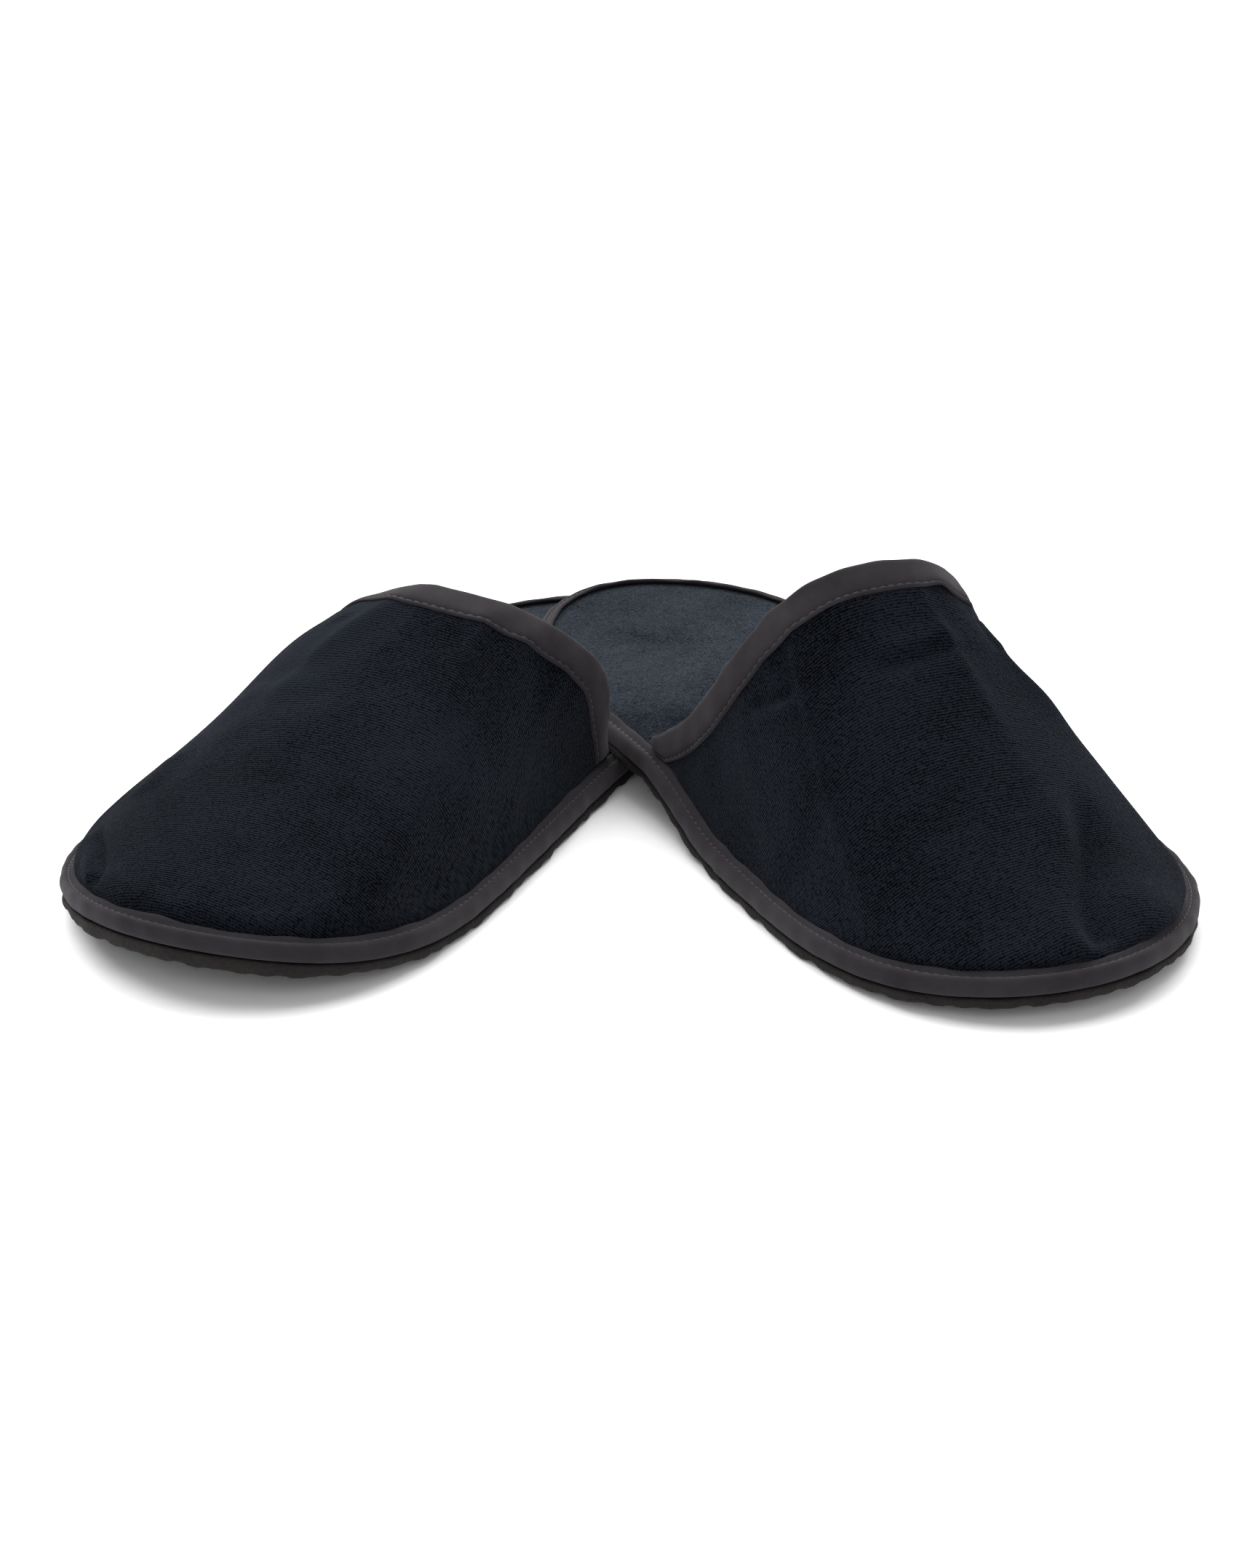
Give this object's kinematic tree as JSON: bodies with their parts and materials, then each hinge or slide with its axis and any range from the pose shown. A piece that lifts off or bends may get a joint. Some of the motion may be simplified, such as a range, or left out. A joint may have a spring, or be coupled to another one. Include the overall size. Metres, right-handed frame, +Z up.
{
  "type": "spa slippers",
  "caption": "Pair of closed-toe spa slippers with padded velour vamps, bound edges and flexible foam soles, one resting its heel across the other.",
  "frame": {"origin": "centre of the pair's bounding box in plan, at floor level under the outsoles", "axes": "+Z up from the floor; toes point towards -Y, spread to -X for the right slipper and to +X for the left one"},
  "size_m": [0.2958, 0.275, 0.0822],
  "materials": {
    "velour": "short looped terry velour, matt with a soft sheen",
    "binding_tape": "fine plain-woven tape, matt",
    "lining_knit": "brushed knit, matt",
    "outsole_foam": "closed-cell foam, matt, fine texture",
    "padding_foam": "soft foam padding, hidden inside",
    "insole_board": "thin stiffening board, hidden inside",
    "sewing_thread": "spun polyester thread, matt"
  },
  "bodies": {
    "right_slipper": {"right_outsole": "outsole_foam", "right_insole_board": "insole_board", "right_sole_foam": "padding_foam", "right_footbed_cover": "velour", "right_sole_binding": "binding_tape", "right_sole_stitching": "sewing_thread", "right_vamp_outer": "velour", "right_vamp_foam": "padding_foam", "right_vamp_lining": "lining_knit", "right_throat_binding": "binding_tape", "right_throat_stitching": "sewing_thread"},
    "left_slipper": {"left_outsole": "outsole_foam", "left_insole_board": "insole_board", "left_sole_foam": "padding_foam", "left_footbed_cover": "velour", "left_sole_binding": "binding_tape", "left_sole_stitching": "sewing_thread", "left_vamp_outer": "velour", "left_vamp_foam": "padding_foam", "left_vamp_lining": "lining_knit", "left_throat_binding": "binding_tape", "left_throat_stitching": "sewing_thread"}
  },
  "joints": [
    {"name": "slipper_lift", "type": "slide", "parent": "right_slipper", "child": "left_slipper", "axis": [0, 0, 1], "range_m": [0, 0.15]}
  ]
}
